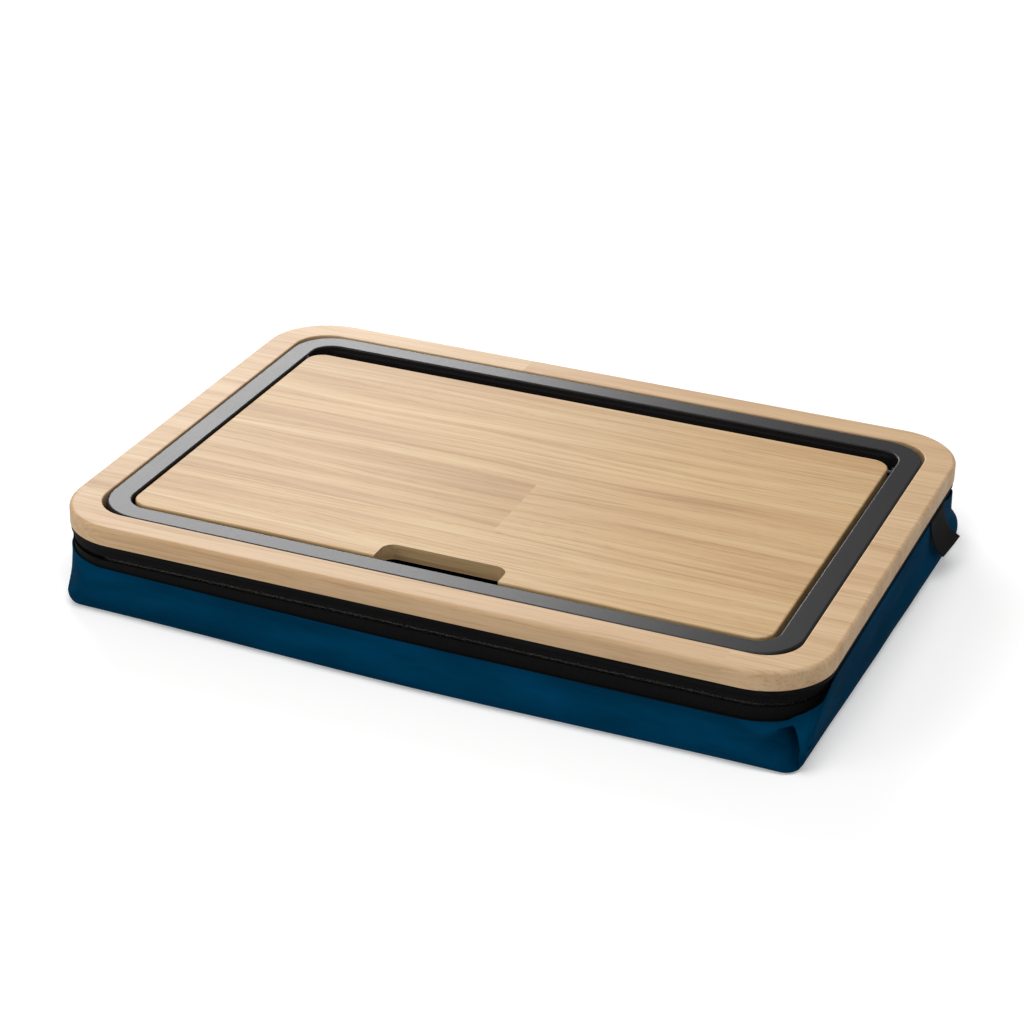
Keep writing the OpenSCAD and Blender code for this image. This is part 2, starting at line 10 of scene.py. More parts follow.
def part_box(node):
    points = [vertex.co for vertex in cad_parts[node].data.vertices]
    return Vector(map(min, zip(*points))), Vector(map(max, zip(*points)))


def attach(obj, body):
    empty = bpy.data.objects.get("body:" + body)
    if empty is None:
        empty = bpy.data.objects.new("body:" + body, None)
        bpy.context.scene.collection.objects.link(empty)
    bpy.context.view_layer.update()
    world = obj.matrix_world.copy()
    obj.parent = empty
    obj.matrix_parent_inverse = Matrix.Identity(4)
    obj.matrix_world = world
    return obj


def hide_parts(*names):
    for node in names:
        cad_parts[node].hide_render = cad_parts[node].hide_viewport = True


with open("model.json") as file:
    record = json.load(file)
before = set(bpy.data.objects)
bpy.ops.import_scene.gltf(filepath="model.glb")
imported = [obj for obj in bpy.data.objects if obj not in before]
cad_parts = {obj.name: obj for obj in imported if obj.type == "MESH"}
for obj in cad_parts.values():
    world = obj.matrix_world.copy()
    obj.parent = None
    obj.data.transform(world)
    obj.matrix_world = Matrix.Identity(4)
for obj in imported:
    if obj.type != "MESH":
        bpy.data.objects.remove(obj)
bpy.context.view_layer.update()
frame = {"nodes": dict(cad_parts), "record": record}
nodes = frame["nodes"]

MM = 0.001

# Sizes that the frame gives
ring_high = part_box("ring_frame")[1]
cover_low, cover_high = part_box("pouch")
label_low, label_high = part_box("woven_label")


def srgb(red, green, blue, alpha=1.0):
    """A colour as it looks on a screen, 0 to 255, as the linear colour that a shader takes."""
    def linear(c):
        c /= 255
        return c / 12.92 if c <= 0.04045 else ((c + 0.055) / 1.055) ** 2.4
    return linear(red), linear(green), linear(blue), alpha


# Camera

AZIMUTH = math.radians(21.93)
ELEVATION = math.radians(26.65)
ROLL = math.radians(1.46)
DISTANCE = 1.725
AIM_RIGHT = -7.1 * MM
AIM_UP = -22.2 * MM
FOCAL_LENGTH = 96.1


def place_camera():
    back = Vector((math.sin(AZIMUTH) * math.cos(ELEVATION),
                   -math.cos(AZIMUTH) * math.cos(ELEVATION), math.sin(ELEVATION)))
    level = Vector((math.cos(AZIMUTH), math.sin(AZIMUTH), 0))
    upright = back.cross(level)
    right = math.cos(ROLL) * level + math.sin(ROLL) * upright
    up = back.cross(right)
    camera = bpy.data.objects.new("camera", bpy.data.cameras.new("camera"))
    bpy.context.scene.collection.objects.link(camera)
    camera.data.sensor_width = 36
    camera.data.lens = FOCAL_LENGTH
    turn = Matrix((right, up, back)).transposed().to_4x4()
    centre = Vector((0, 0, ring_high.z))
    eye = centre + back * DISTANCE + right * AIM_RIGHT + up * AIM_UP
    camera.matrix_world = Matrix.Translation(eye) @ turn
    bpy.context.scene.camera = camera


# Shader maths

class Term:
    """A socket of a finish. Arithmetic on it adds Math nodes."""

    def __init__(self, finish, socket):
        self.finish = finish
        self.socket = socket

    def maths(self, operation, first, second):
        return self.finish.node("ShaderNodeMath", {"operation": operation}, {0: first, 1: second})

    def __add__(self, other):
        return self.maths("ADD", self, other)

    def __radd__(self, other):
        return self.maths("ADD", other, self)

    def __sub__(self, other):
        return self.maths("SUBTRACT", self, other)

    def __mul__(self, other):
        return self.maths("MULTIPLY", self, other)

    def __truediv__(self, other):
        return self.maths("DIVIDE", self, other)

    def output(self, name):
        """Another output of the same node."""
        return Term(self.finish, self.socket.node.outputs[name])

    def floor(self):
        return self.finish.node("ShaderNodeMath", {"operation": "FLOOR"}, {0: self})

    def wave(self):
        """Sine of the value, moved to the range 0 to 1."""
        sine = self.finish.node("ShaderNodeMath", {"operation": "SINE"}, {0: self})
        return sine * 0.5 + 0.5

    def between(self, low, high):
        """0 at low and below, 1 at high and above, smooth between them."""
        return self.finish.node("ShaderNodeMapRange", {"interpolation_type": "SMOOTHSTEP"},
                                {"Value": self, "From Min": low, "From Max": high})


class Finish:
    """One material, built node by node."""

    def __init__(self, name):
        self.material = bpy.data.materials.new(name)
        self.material.use_nodes = True
        self.tree = self.material.node_tree
        self.tree.nodes.clear()

    def node(self, kind, settings, inputs, output=0):
        """Adds a node: its settings first, then a value or a link for each named socket."""
        made = self.tree.nodes.new(kind)
        for name, value in settings.items():
            if name == "stops":
                self.set_stops(made.color_ramp, value)
            else:
                setattr(made, name, value)
        for name, value in inputs.items():
            if isinstance(value, Term):
                self.tree.links.new(value.socket, made.inputs[name])
            else:
                made.inputs[name].default_value = value
        return Term(self, made.outputs[output]) if made.outputs else made

    def set_stops(self, ramp, stops):
        while len(ramp.elements) < len(stops):
            ramp.elements.new(0.5)
        for element, (place, colour) in zip(ramp.elements, stops):
            element.position = place
            element.color = colour

    def place(self):
        """A point's place in the frame of the whole object, in metres."""
        return self.node("ShaderNodeTexCoord", {}, {}, "Object")

    def flat_place(self):
        """A point's place on the cloth, in metres, from the piece's own UV map."""
        return self.node("ShaderNodeUVMap", {"uv_map": "cloth"}, {})

    def parts(self, vector):
        """The three coordinates of a vector."""
        split = self.node("ShaderNodeSeparateXYZ", {}, {"Vector": vector})
        return split, split.output("Y"), split.output("Z")

    def vector(self, x, y, z):
        return self.node("ShaderNodeCombineXYZ", {}, {"X": x, "Y": y, "Z": z})

    def stretched(self, vector, scale):
        """The vector scaled along each axis: a noise of scale 1 then has so many spots a metre."""
        return self.node("ShaderNodeMapping", {}, {"Vector": vector, "Scale": scale})

    def noise(self, vector, scale=1.0, detail=3.0, roughness=0.5):
        return self.node("ShaderNodeTexNoise", {},
                         {"Vector": vector, "Scale": scale,
                          "Detail": detail, "Roughness": roughness})

    def random(self, vector):
        return self.node("ShaderNodeTexWhiteNoise", {}, {"Vector": vector})

    def ramp(self, value, *stops):
        return self.node("ShaderNodeValToRGB", {"stops": stops}, {"Fac": value})

    def mix(self, share, first, second, blend="MIX"):
        return self.node("ShaderNodeMix", {"data_type": "RGBA", "blend_type": blend},
                         {0: share, 6: first, 7: second}, 2)

    def bump(self, height, strength, depth):
        return self.node("ShaderNodeBump", {},
                         {"Height": height, "Strength": strength, "Distance": depth})

    def surface(self, **sockets):
        """The shader itself. An underscore in a name stands for a space."""
        inputs = {name.replace("_", " "): value for name, value in sockets.items()}
        shader = self.node("ShaderNodeBsdfPrincipled", {}, inputs)
        self.node("ShaderNodeOutputMaterial", {}, {"Surface": shader})
        return self.material


# Finishes

def oak(name, pale, mid, dark, stave_width, stave_length, first_edge, end_joint, streaks):
    """Solid oak with its grain along X, glued up from staves.

    One stave starts at first_edge along Y and end_joint along X.
    """
    finish = Finish(name)
    place = finish.place()
    x, y, z = finish.parts(place)
    row = ((y - first_edge) / stave_width).floor()
    stave = ((x - end_joint) / stave_length + row * 0.37).floor()
    tone = finish.random(finish.vector(row, stave, end_joint))
    bent = finish.noise(finish.vector(x * 4 + tone * 7, y * 26, z * 26), detail=2)
    heart = y + bent * 0.02 + tone * 0.4
    rings = finish.noise(finish.vector(x * 2.4 + tone * 9, heart * 130, z * 90),
                         detail=4, roughness=0.62)
    broad = finish.noise(finish.vector(x * 3 + tone * 5, heart * 36, z * 20 + tone), detail=2)
    lines = finish.noise(finish.vector(x * 9 + tone * 3, heart * 620, z * 620),
                         detail=3, roughness=0.7)
    fibre = finish.noise(finish.vector(x * 40, y * 1500, z * 1500), detail=2, roughness=0.7)
    pores = finish.noise(finish.vector(x * 90, y * 1700 + tone * 40, z * 1700), detail=1)
    pore_mask = pores.between(0.6, 0.72) * rings.between(0.4, 0.62)
    body = finish.ramp(rings * 0.6 + broad * 0.4, (0.3, pale), (0.55, mid), (0.85, dark))
    toned = finish.mix(tone * 0.12, body, dark)
    streaked = finish.mix(broad.between(0.56, 0.74) * streaks, toned, dark)
    lined = finish.mix(lines.between(0.47, 0.66) * 0.4, streaked, dark)
    fibred = finish.mix(fibre.between(0.35, 0.8) * 0.14, lined, dark)
    pored = finish.mix(pore_mask * 0.45, fibred, dark)
    height = fibre * 0.4 + lines * 0.4 - pore_mask * 0.6
    return finish.surface(Base_Color=pored, Roughness=0.44 + rings * 0.1 + lines * 0.06,
                          Specular_IOR_Level=0.36,
                          Normal=finish.bump(height, 0.3, 0.1 * MM))


def satin_plastic(name, colour, roughness, grain):
    """Moulded plastic with a fine spark-eroded grain."""
    finish = Finish(name)
    place = finish.place()
    speckle = finish.noise(place, scale=1500, detail=2, roughness=0.6)
    drift = finish.noise(place, scale=9, detail=2)
    pale_grain = srgb(58, 57, 60)
    tint = finish.mix(speckle.between(0.3, 0.7) * 0.22 + drift * 0.06, colour, pale_grain)
    return finish.surface(Base_Color=tint, Roughness=roughness + speckle * 0.12 + drift * 0.06,
                          Specular_IOR_Level=0.28, Normal=finish.bump(speckle, grain, 0.06 * MM))


def stained_board(name):
    """Thin board stained black, with a trace of grain."""
    finish = Finish(name)
    place = finish.place()
    grain = finish.noise(finish.stretched(place, (14, 500, 700)), detail=3)
    tint = finish.mix(grain.between(0.35, 0.7), srgb(7, 7, 8), srgb(19, 18, 19))
    return finish.surface(Base_Color=tint, Roughness=0.7 + grain * 0.1, Specular_IOR_Level=0.1,
                          Normal=finish.bump(grain, 0.2, 0.1 * MM))


def coated_cloth(name, deep, lit):
    """Smooth coated fabric: a hidden fine weave, and random patches of painted sheen that mix a
    lit blue into the deep blue.
    """
    finish = Finish(name)
    flat = finish.flat_place()
    u, v, _ = finish.parts(flat)
    weave = (u * 2600).wave() * 0.5 + (v * 2600).wave() * 0.5
    sheen_patches = finish.noise(finish.stretched(flat, (12, 30, 1)), detail=3, roughness=0.55)
    fine = finish.noise(flat, scale=420, detail=2)
    # painted sheen: the noise patches turn the deep blue towards a lit blue
    tint = finish.mix(sheen_patches.between(0.3, 0.72), deep, lit)
    return finish.surface(Base_Color=tint, Roughness=0.55 + fine * 0.08 + sheen_patches * 0.06,
                          IOR=1.14, Specular_IOR_Level=0.05,
                          Normal=finish.bump(weave * 0.6 + fine * 0.5, 0.3, 0.06 * MM))


def woven_tape(name, dark, light, ribs):
    """Black woven tape: ribs along its height and finer picks along its length."""
    finish = Finish(name)
    place = finish.place()
    x, y, z = finish.parts(place)
    picks = ((x + y) * ribs).wave()
    courses = (z * 9000).wave()
    thread = finish.noise(place, scale=1400, detail=2)
    woven = picks * 0.55 + courses * 0.25 + thread * 0.35
    tint = finish.mix(woven.between(0.3, 0.9), dark, light)
    return finish.surface(Base_Color=tint, Roughness=0.8 + thread * 0.12, Specular_IOR_Level=0.15,
                          Normal=finish.bump(woven, 0.5, 0.15 * MM))


def worn_metal(name, colour, roughness, metallic, wear):
    """Plated or enamelled metal with small rubs."""
    finish = Finish(name)
    place = finish.place()
    rubs = finish.noise(place, scale=900, detail=4, roughness=0.7)
    bare_metal = srgb(150, 150, 152)
    tint = finish.mix(rubs.between(0.6, 0.8) * wear, colour, bare_metal)
    return finish.surface(Base_Color=tint, Metallic=metallic, Roughness=roughness + rubs * 0.15,
                          Normal=finish.bump(rubs, 0.1, 0.05 * MM))


def open_foam(name):
    """Pale open-cell foam."""
    finish = Finish(name)
    place = finish.place()
    cells = finish.node("ShaderNodeTexVoronoi", {}, {"Vector": place, "Scale": 700}, "Distance")
    tint = finish.mix(cells.between(0.1, 0.6), srgb(224, 221, 208), srgb(190, 186, 172))
    return finish.surface(Base_Color=tint, Roughness=0.95, Specular_IOR_Level=0.2,
                          Normal=finish.bump(cells, 0.6, 0.4 * MM))


finishes = {
    "frame_wood": oak("frame_oak", srgb(221, 191, 153), srgb(206, 172, 131), srgb(168, 126, 85),
                      46 * MM, 430 * MM, -174 * MM, 190 * MM, 0.12),
    "lid_wood": oak("lid_oak", srgb(217, 187, 140), srgb(200, 164, 115), srgb(146, 102, 58),
                    74 * MM, 2400 * MM, -150 * MM, 900 * MM, 0.25),
    "board_black": stained_board("stained_board"),
    "tray_plastic": satin_plastic("charcoal_tray", srgb(12, 11, 12), 0.3, 0.5),
    "bush_plastic": satin_plastic("bush_nylon", srgb(30, 30, 31), 0.5, 0.2),
    "bumper_rubber": satin_plastic("bumper_rubber", srgb(24, 24, 24), 0.75, 0.4),
    "screw_steel": worn_metal("zinc_screw", srgb(96, 97, 100), 0.6, 1.0, 0.15),
    "zip_tape": woven_tape("zip_tape", srgb(5, 5, 5), srgb(17, 17, 17), 4500),
    "zip_chain": woven_tape("zip_coil", srgb(4, 4, 4), srgb(12, 12, 12), 4500),
    "zip_metal": worn_metal("black_enamel", srgb(26, 26, 28), 0.35, 0.7, 0.5),
    # the cloth's deep blue, and a lit blue for its painted sheen
    "cover_fabric": coated_cloth("coated_cloth", srgb(0, 45, 69), srgb(0, 57, 88)),
    "pad_foam": open_foam("pad_foam"),
    "label_weave": woven_tape("label_weave", srgb(10, 10, 11), srgb(26, 26, 27), 9000),
}


def dress_nodes():
    """Gives every node of the frame the finish of its material slot."""
    for part in frame["record"]["subparts"]:
        node = nodes[part["node"]]
        node.data.materials.clear()
        node.data.materials.append(finishes[part["material_slot"]])
        smooth_by_angle(node, 30)


def smooth_by_angle(piece, degrees):
    for polygon in piece.data.polygons:
        polygon.use_smooth = True
    bpy.ops.object.select_all(action="DESELECT")
    piece.select_set(True)
    bpy.context.view_layer.objects.active = piece
    bpy.ops.object.shade_smooth_by_angle(angle=math.radians(degrees))


# Fabric cover, worked out in millimetres.
# A level runs from 0 at the bottom to 1 at the hem, which is sewn to the zip.

CORNER_STEPS = 44
SHORT_STEPS = 60
LONG_STEPS = 110
CLOTH_THICKNESS = 0.8 * MM
COVER_X = cover_high.x / MM
COVER_Y = -cover_low.y / MM
SWELL = 4
RIGHT_SWELL = 0.4
TUCK = 21
TUCK_SLACK = 3.5
FRONT_SKEW = 5
RIGHT_TAPER = 4
REAR_TAPER = 2.4
REAR_BULGE = 3.4
FRONT_RADIUS = 12
REAR_RADIUS = 56
ROUND_LEVEL = 0.3
ROUND_IN = 5
RING_RADIUS = 44
CORNER_X = ring_high.x / MM - RING_RADIUS
CORNER_Y = ring_high.y / MM - RING_RADIUS
HEM_RADIUS = 44.4, 43.8, 43.6, 43.6
HEM_HEIGHT = 26
HEM_HEIGHT_RIGHT = cover_high.z / MM
HEM_HEIGHT_REAR_RIGHT = HEM_HEIGHT_RIGHT - 4
FRONT_DIP = 3.6
# Height of the hem round the front right corner: (turn in degrees, height)
CORNER_HEM = ((0, 22.5), (30, 22.5), (36, 22.7), (47, 25), (62, 26.6),
              (69, 27.8), (75, 32.4), (82, 36.4), (90, 37.4))

# The fold at the front right corner
FOLD_LEVELS = 0.06, 0.93
FOLD_TURN_TOP = 36
FOLD_TURN_GAIN = 26
FOLD_DEPTH = 22
FOLD_INWARD = Vector((-0.2, 0.98))
FOLD_BACK_SPREAD = 1.8
LIP_HEIGHT, LIP_PLACE, LIP_SPREAD = 2, 4.5, 3.2
LIP_OUTWARD = Vector((0.75, -0.66))
LAP_HEIGHT, LAP_PLACE, LAP_SPREAD = 4, 3, 2.2
LAP_OVER = Vector((-0.8, -0.45))


def smooth_step(low, high, value):
    t = min(1, max(0, (value - low) / (high - low)))
    return t * t * (3 - 2 * t)


def bell(distance, spread):
    return math.exp(-(distance / spread) ** 2)


def wide_corner(corner, level):
    """Reach along X and Y, and radius, of the widest outline at a corner.

    Corner 0 is the front right one, and the others follow round by the rear.
    """
    firm = smooth_step(0.3, 0.55, level)
    reach_y = COVER_Y - SWELL
    return ((COVER_X - RIGHT_TAPER + 1.6 * firm, reach_y + FRONT_SKEW / 2, FRONT_RADIUS),
            (COVER_X + REAR_BULGE - 5 * firm, reach_y, REAR_RADIUS),
            (COVER_X - REAR_TAPER, reach_y, REAR_RADIUS),
            (COVER_X - TUCK + TUCK_SLACK - 2 * firm, reach_y - FRONT_SKEW / 2,
             FRONT_RADIUS))[corner % 4]


def hem_corner(corner, level):
    radius = HEM_RADIUS[corner % 4]
    return CORNER_X + radius, CORNER_Y + radius, radius


SIDE_SWELL = (Vector((RIGHT_SWELL, 0)), Vector((0, SWELL)),
              Vector((-(TUCK + REAR_TAPER) / 2, 0)), Vector((0, -SWELL)))


def plan_steps():
    """Every step round the cover: corner, degrees of its turn, share of the side after it."""
    steps = []
    for corner in range(4):
        side = SHORT_STEPS if corner % 2 == 0 else LONG_STEPS
        steps += [(corner, 90 * i / CORNER_STEPS, 0) for i in range(CORNER_STEPS)]
        steps += [(corner, 90, i / side) for i in range(side)]
    return steps


def turned_point(corner, turn, sizes, inset):
    side_x, side_y = ((1, -1), (1, 1), (-1, 1), (-1, -1))[corner % 4]
    reach_x, reach_y, radius = sizes
    angle = math.radians(90 * (corner - 1) + turn)
    return Vector((side_x * (reach_x - radius) + (radius - inset) * math.cos(angle),
                   side_y * (reach_y - radius) + (radius - inset) * math.sin(angle)))


def outline_point(corner, turn, share, level, sizes_at, inset, swell):
    point = turned_point(corner, turn, sizes_at(corner, level), inset)
    if share > 0:
        end = turned_point(corner + 1, 0, sizes_at(corner + 1, level), inset)
        point = point.lerp(end, share) + swell * math.sin(math.pi * share) ** 2
    return point


def rounded_in(level):
    """How far a level below the widest one lies inside it."""
    if level >= ROUND_LEVEL:
        return 0
    return ROUND_IN * (1 - math.sqrt(1 - (1 - level / ROUND_LEVEL) ** 2))


def hem_share(corner, turn, share, level):
    """Share of the hem's outline in the outline at a level.

    The left side hangs straight down from the zip, and the rear right corner slants out evenly.
    """
    hanging = 0
    if corner == 2:
        hanging = math.sin(math.pi / 2 * min(1, max(0, (share - 0.25) / 0.3))) ** 2
    elif corner == 3 and share == 0:
        hanging = math.cos(math.radians(turn)) ** 2
    straight = 0
    if corner == 0 and share > 0:
        straight = smooth_step(0.6, 1, share)
    elif corner == 1 and share == 0:
        straight = 1 - smooth_step(20, 80, turn)
    first = ROUND_LEVEL * (1 - 0.4 * straight)
    up = max(0, (level - first) / (1 - first)) / (1 - 0.4 * hanging)
    return min(1, up) ** ((2 - 0.8 * straight) * 0.05 ** hanging)


def hem_height(corner, turn, share):
    if corner == 3:
        return HEM_HEIGHT - FRONT_DIP * math.sin(math.pi / 2 * min(1, share / 0.6))
    if corner == 0 and share == 0:
        for (first, low), (last, high) in zip(CORNER_HEM, CORNER_HEM[1:]):
            if turn <= last:
                return low + (high - low) * smooth_step(first, last, turn)
    if corner == 0:
        drop = HEM_HEIGHT_RIGHT - HEM_HEIGHT_REAR_RIGHT
        return HEM_HEIGHT_RIGHT - drop * smooth_step(0.93, 1, share)
    if corner == 1 and share == 0:
        rise = HEM_HEIGHT_REAR_RIGHT - HEM_HEIGHT
        return HEM_HEIGHT + rise * (1 - smooth_step(0, 55, turn))
    return HEM_HEIGHT


def folded(point, corner, turn, share, level, hem):
    """The sharp fold at the front right corner: the right side laps over the hollow front."""
    before = corner == 3 and share >= 0.5
    after = corner == 0 and share <= 0.5
    if not before and not after:
        return point
    first, last = FOLD_LEVELS
    open_share = math.sin(math.pi * min(1, max(0, (level - first) / (last - first)))) ** 0.7
    radius = FRONT_RADIUS + (HEM_RADIUS[0] - FRONT_RADIUS) * hem
    fold_turn = FOLD_TURN_TOP + FOLD_TURN_GAIN * (1 - level)
    if before:
        run = -radius * math.radians(fold_turn) - (1 - share) * 2 * (COVER_X - 30)
    else:
        run = radius * math.radians(turn - fold_turn) + share * 300
    spread = (4 + 14 * open_share) if run < 0 else FOLD_BACK_SPREAD
    depth = FOLD_DEPTH * open_share * bell(run, spread)
    lip = LIP_HEIGHT * open_share * bell(run - LIP_PLACE, LIP_SPREAD)
    lap = LAP_HEIGHT * open_share * bell(run - LAP_PLACE, LAP_SPREAD)
    return point + FOLD_INWARD * depth + LIP_OUTWARD * lip + LAP_OVER * lap


def slack_waves(corner, turn, share, level, place):
    """Small hollows and swellings of the loose cloth, in and out."""
    side = corner * 7.3 + turn / 90 * 0.6 + share * 4
    rise = math.sin(math.pi * min(1, level)) ** 0.8
    return rise * (0.35 * math.sin(place.x / 17 + side) * math.cos(place.y / 23 + level * 2.2)
                   + 0.22 * math.sin(place.x / 8.5 - place.y / 9.7 + level * 4))


def cover_point(corner, turn, share, level):
    hem = hem_share(corner, turn, share, level)
    wide = outline_point(corner, turn, share, level,
                         wide_corner, rounded_in(level), SIDE_SWELL[corner])
    zipped = outline_point(corner, turn, share, level, hem_corner, 0, Vector((0, 0)))
    place = wide.lerp(zipped, hem)
    outward = wide.normalized()
    place += outward * slack_waves(corner, turn, share, level, place)
    place = folded(place, corner, turn, share, level, hem)
    return Vector((place.x, place.y, level * hem_height(corner, turn, share))) * MM


COVER_STEPS = plan_steps()
LEVELS = [0, 0.02, 0.05, 0.09, 0.14, 0.2] + [0.26 + 0.74 * i / 20 for i in range(21)]


def cover_level(level):
    """The cover's outer face at one level: a ring of points."""
    return [cover_point(*step, level) for step in COVER_STEPS]


def cloth_from_rings(name, rings, closed_below):
    """A mesh that joins rings of points, the first lowest, with a cloth map in metres."""
    count = len(rings[0])
    points = [p for ring in rings for p in ring]
    faces = []
    for row in range(len(rings) - 1):
        for i in range(count):
            j = (i + 1) % count
            faces.append((row * count + i, row * count + j,
                          (row + 1) * count + j, (row + 1) * count + i))
    if closed_below:
        faces.append(tuple(range(count - 1, -1, -1)))
    mesh = bpy.data.meshes.new(name)
    mesh.from_pydata(points, [], faces)
    around = [0]
    for i in range(count):
        around.append(around[-1] + (rings[-1][(i + 1) % count] - rings[-1][i]).length)
    up = [0]
    for row in range(1, len(rings)):
        up.append(up[-1] + (rings[row][0] - rings[row - 1][0]).length)
    layer = mesh.uv_layers.new(name="cloth")
    for polygon in mesh.polygons:
        flat = len(polygon.vertices) > 4
        corners = [mesh.loops[k].vertex_index for k in polygon.loop_indices]
        columns = {k % count for k in corners}
        wraps = not flat and 0 in columns and count - 1 in columns
        for loop, k in zip(polygon.loop_indices, corners):
            if flat:
                layer.data[loop].uv = points[k].xy
            else:
                column = count if wraps and k % count == 0 else k % count
                layer.data[loop].uv = (around[column], up[k // count])
    piece = bpy.data.objects.new(name, mesh)
    bpy.context.scene.collection.objects.link(piece)
    return piece


def apply_modifier(piece, kind, **settings):
    modifier = piece.modifiers.new(kind.lower(), kind)
    for key, value in settings.items():
        setattr(modifier, key, value)
    bpy.ops.object.select_all(action="DESELECT")
    piece.select_set(True)
    bpy.context.view_layer.objects.active = piece
    bpy.ops.object.modifier_apply(modifier=modifier.name)


def fit_to_body(piece, body, slot, *replaced):
    piece.data.materials.clear()
    piece.data.materials.append(finishes[slot])
    if replaced:
        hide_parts(*replaced)
    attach(piece, body)


def make_cover():
    piece = cloth_from_rings("fabric_cover", [cover_level(level) for level in LEVELS], True)
    apply_modifier(piece, "SOLIDIFY", thickness=CLOTH_THICKNESS, offset=-1)
    smooth_by_angle(piece, 60)
    fit_to_body(piece, "base", "cover_fabric", "pouch")


# Foam pad

def make_pad():
    """The foam block as it is cut, with its hollow clear of the tray."""
    piece = bpy.data.objects.new("foam_pad", nodes["cushion_insert"].data.copy())
    bpy.context.scene.collection.objects.link(piece)
    apply_modifier(piece, "WELD", merge_threshold=0.01 * MM)
    smooth_by_angle(piece, 30)
    fit_to_body(piece, "base", "pad_foam", "cushion_insert")


# Zip chain: each half is one coil of nylon that runs round three sides

COIL_PITCH = 1.5
COIL_STEPS = 6
COIL_RADIUS = 41.5
COIL_REACH = 0.9
COIL_RISE = 0.32
WIRE = 0.17
END_MARGIN = 0.9999


def coil_path(distance):
    """Place and outward direction on the chain's line, a distance in mm from its left rear end."""
    side = 2 * CORNER_Y
    arc = COIL_RADIUS * math.pi / 2
    front = 2 * CORNER_X
    if distance < side:
        return Vector((-CORNER_X - COIL_RADIUS, CORNER_Y - distance, 0)), Vector((-1, 0, 0))
    distance -= side
    if distance < arc:
        angle = math.pi + distance / COIL_RADIUS
        out = Vector((math.cos(angle), math.sin(angle), 0))
        return Vector((-CORNER_X, -CORNER_Y, 0)) + out * COIL_RADIUS, out
    distance -= arc
    if distance < front:
        return Vector((-CORNER_X + distance, -CORNER_Y - COIL_RADIUS, 0)), Vector((0, -1, 0))
    distance -= front
    if distance < arc:
        angle = -math.pi / 2 + distance / COIL_RADIUS
        out = Vector((math.cos(angle), math.sin(angle), 0))
        return Vector((CORNER_X, -CORNER_Y, 0)) + out * COIL_RADIUS, out
    distance -= arc
    return Vector((CORNER_X + COIL_RADIUS, -CORNER_Y + distance, 0)), Vector((1, 0, 0))


def make_coil(name, node):
    low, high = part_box(node)
    middle = (low.z + high.z) / 2 / MM
    length = 4 * CORNER_Y + 2 * CORNER_X + COIL_RADIUS * math.pi
    count = int(length / COIL_PITCH) * COIL_STEPS
    points = []
    outwards = []
    for i in range(count + 1):
        centre, out = coil_path(length * i / count * END_MARGIN)
        turn = 2 * math.pi * i / COIL_STEPS
        outwards.append(out)
        points.append(centre + out * COIL_REACH * math.cos(turn)
                      + Vector((0, 0, middle + COIL_RISE * math.sin(turn))))
    vertices = []
    for i, point in enumerate(points):
        along = (points[min(i + 1, count)] - points[max(i - 1, 0)]).normalized()
        line = Vector((0, 0, 1)).cross(outwards[i])
        side = along.cross(line).normalized() * WIRE
        lift = along.cross(side)
        vertices += [(point + side + lift) * MM, (point - side + lift) * MM,
                     (point - side - lift) * MM, (point + side - lift) * MM]
    faces = [(4 * i + k, 4 * i + (k + 1) % 4, 4 * i + 4 + (k + 1) % 4, 4 * i + 4 + k)
             for i in range(count) for k in range(4)]
    faces += [(3, 2, 1, 0), (4 * count, 4 * count + 1, 4 * count + 2, 4 * count + 3)]
    mesh = bpy.data.meshes.new(name)
    mesh.from_pydata(vertices, [], faces)
    piece = bpy.data.objects.new(name, mesh)
    bpy.context.scene.collection.objects.link(piece)
    smooth_by_angle(piece, 60)
    fit_to_body(piece, "base", "zip_chain", node)


# Woven label: a folded strip, bare, that comes out over the hem and lies on the right side

LABEL_COLUMNS = 24
LABEL_ROWS = 12
LABEL_LEVELS = 0.36, 0.96
LABEL_GAP = 0.35
LABEL_PUFF = 0.8
LABEL_STAND = 7.5


def label_line(cover_rows, across):
    """The label's outer face at a share of its width, from its lower edge up and over the hem."""
    y = label_low.y + (label_high.y - label_low.y) * across
    line = []
    for i, row in enumerate(cover_rows):
        first = next(k for k in range(SHORT_STEPS) if row[k + 1].y >= y)
        share = (y - row[first].y) / (row[first + 1].y - row[first].y)
        point = row[first].lerp(row[first + 1], share)
        up = min(1, (i + 0.2) / LABEL_ROWS)
        puff = LABEL_PUFF * math.sin(math.pi * across) ** 0.6 * math.sin(math.pi * up) ** 0.6
        stand = LABEL_STAND * (1 - i / LABEL_ROWS) ** 1.5 * (0.8 + 0.35 * across)
        line.append(Vector((point.x + (LABEL_GAP + puff + stand) * MM, y,
                            point.z + 0.55 * stand * MM)))
    crest = label_high.z - LABEL_GAP * MM
    line.append(Vector((line[-1].x, y, crest - LABEL_GAP * MM)))
    line.append(Vector((line[-1].x - 0.6 * MM, y, crest)))
    line.append(Vector((label_low.x + 0.2 * MM, y, crest)))
    return line


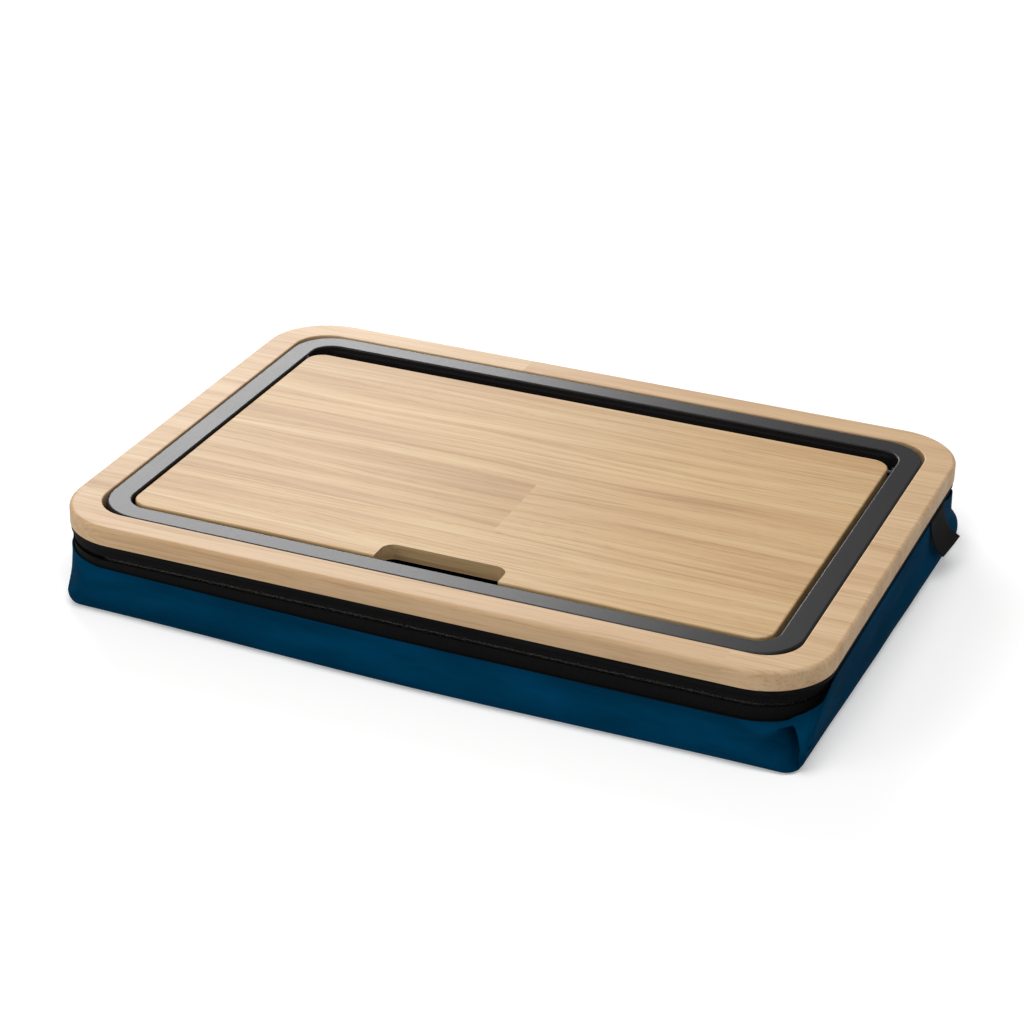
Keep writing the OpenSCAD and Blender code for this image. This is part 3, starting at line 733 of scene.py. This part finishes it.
def make_label():
    low, high = LABEL_LEVELS
    levels = [low + (high - low) * i / LABEL_ROWS for i in range(LABEL_ROWS + 1)]
    cover_rows = [[cover_point(0, 90, k / SHORT_STEPS, level) for k in range(SHORT_STEPS + 1)]
                  for level in levels]
    columns = [label_line(cover_rows, column / LABEL_COLUMNS)
               for column in range(LABEL_COLUMNS + 1)]
    rows = len(columns[0])
    vertices = [point for line in columns for point in line]
    faces = [(c * rows + r, (c + 1) * rows + r, (c + 1) * rows + r + 1, c * rows + r + 1)
             for c in range(LABEL_COLUMNS) for r in range(rows - 1)]
    mesh = bpy.data.meshes.new("side_label")
    mesh.from_pydata(vertices, [], faces)
    layer = mesh.uv_layers.new(name="cloth")
    for loop in mesh.loops:
        column, row = divmod(loop.vertex_index, rows)
        layer.data[loop.index].uv = (column / LABEL_COLUMNS * 0.03, row * 0.002)
    piece = bpy.data.objects.new("side_label", mesh)
    bpy.context.scene.collection.objects.link(piece)
    apply_modifier(piece, "SOLIDIFY", thickness=0.55 * MM, offset=1)
    apply_modifier(piece, "BEVEL", width=0.15 * MM, segments=2, limit_method="ANGLE")
    smooth_by_angle(piece, 50)
    fit_to_body(piece, "base", "label_weave", "woven_label")


# Floor and light

CENTRE = Vector((0, 0, 0))
FLOOR_SIZE = 14
FLOOR_LEVEL = -0.4 * MM
FLOOR_GLOW = 0.3
WORLD_LIGHT = 0.38
WORLD_SEEN = 1.0


def light_panel(name, place, size, power):
    lamp = bpy.data.lights.new(name, "AREA")
    lamp.shape = "RECTANGLE"
    lamp.size, lamp.size_y = size
    lamp.energy = power
    panel = bpy.data.objects.new(name, lamp)
    panel.location = place
    panel.rotation_euler = (CENTRE - panel.location).to_track_quat("-Z", "Y").to_euler()
    bpy.context.scene.collection.objects.link(panel)


def make_floor():
    bpy.ops.object.select_all(action="DESELECT")
    bpy.ops.mesh.primitive_plane_add(size=FLOOR_SIZE, location=(0, 0, FLOOR_LEVEL))
    floor = bpy.context.object
    floor.name = "floor"
    finish = Finish("floor_paper")
    seen = finish.node("ShaderNodeLightPath", {}, {}, "Is Camera Ray")
    paper = finish.node("ShaderNodeBsdfDiffuse", {}, {"Color": (0.82, 0.82, 0.82, 1)})
    glow = finish.node("ShaderNodeEmission", {},
                       {"Color": (1, 1, 1, 1), "Strength": seen * FLOOR_GLOW})
    both = finish.node("ShaderNodeAddShader", {}, {0: paper, 1: glow})
    finish.node("ShaderNodeOutputMaterial", {}, {"Surface": both})
    floor.data.materials.append(finish.material)


def make_world():
    world = bpy.data.worlds.new("studio")
    bpy.context.scene.world = world
    world.use_nodes = True
    tree = world.node_tree
    tree.nodes.clear()
    path = tree.nodes.new("ShaderNodeLightPath")
    pick = tree.nodes.new("ShaderNodeMix")
    pick.data_type = "FLOAT"
    pick.inputs[2].default_value = WORLD_LIGHT
    pick.inputs[3].default_value = WORLD_SEEN
    shade = tree.nodes.new("ShaderNodeBackground")
    out = tree.nodes.new("ShaderNodeOutputWorld")
    tree.links.new(path.outputs["Is Camera Ray"], pick.inputs[0])
    tree.links.new(pick.outputs[0], shade.inputs["Strength"])
    tree.links.new(shade.outputs[0], out.inputs["Surface"])


place_camera()
make_floor()
make_world()
light_panel("key_panel", (-1.25, 1.75, 1.05), (1.2, 0.8), 30)
light_panel("top_panel", (0.2, -0.5, 2.2), (2.0, 2.0), 30)
light_panel("fill_panel", (-1.5, -1.7, 0.9), (1.2, 1.0), 11)
bpy.context.scene.view_settings.view_transform = "Standard"

dress_nodes()
make_cover()
make_pad()
make_coil("upper_coil", "zip_chain_upper")
make_coil("lower_coil", "zip_chain_lower")
make_label()
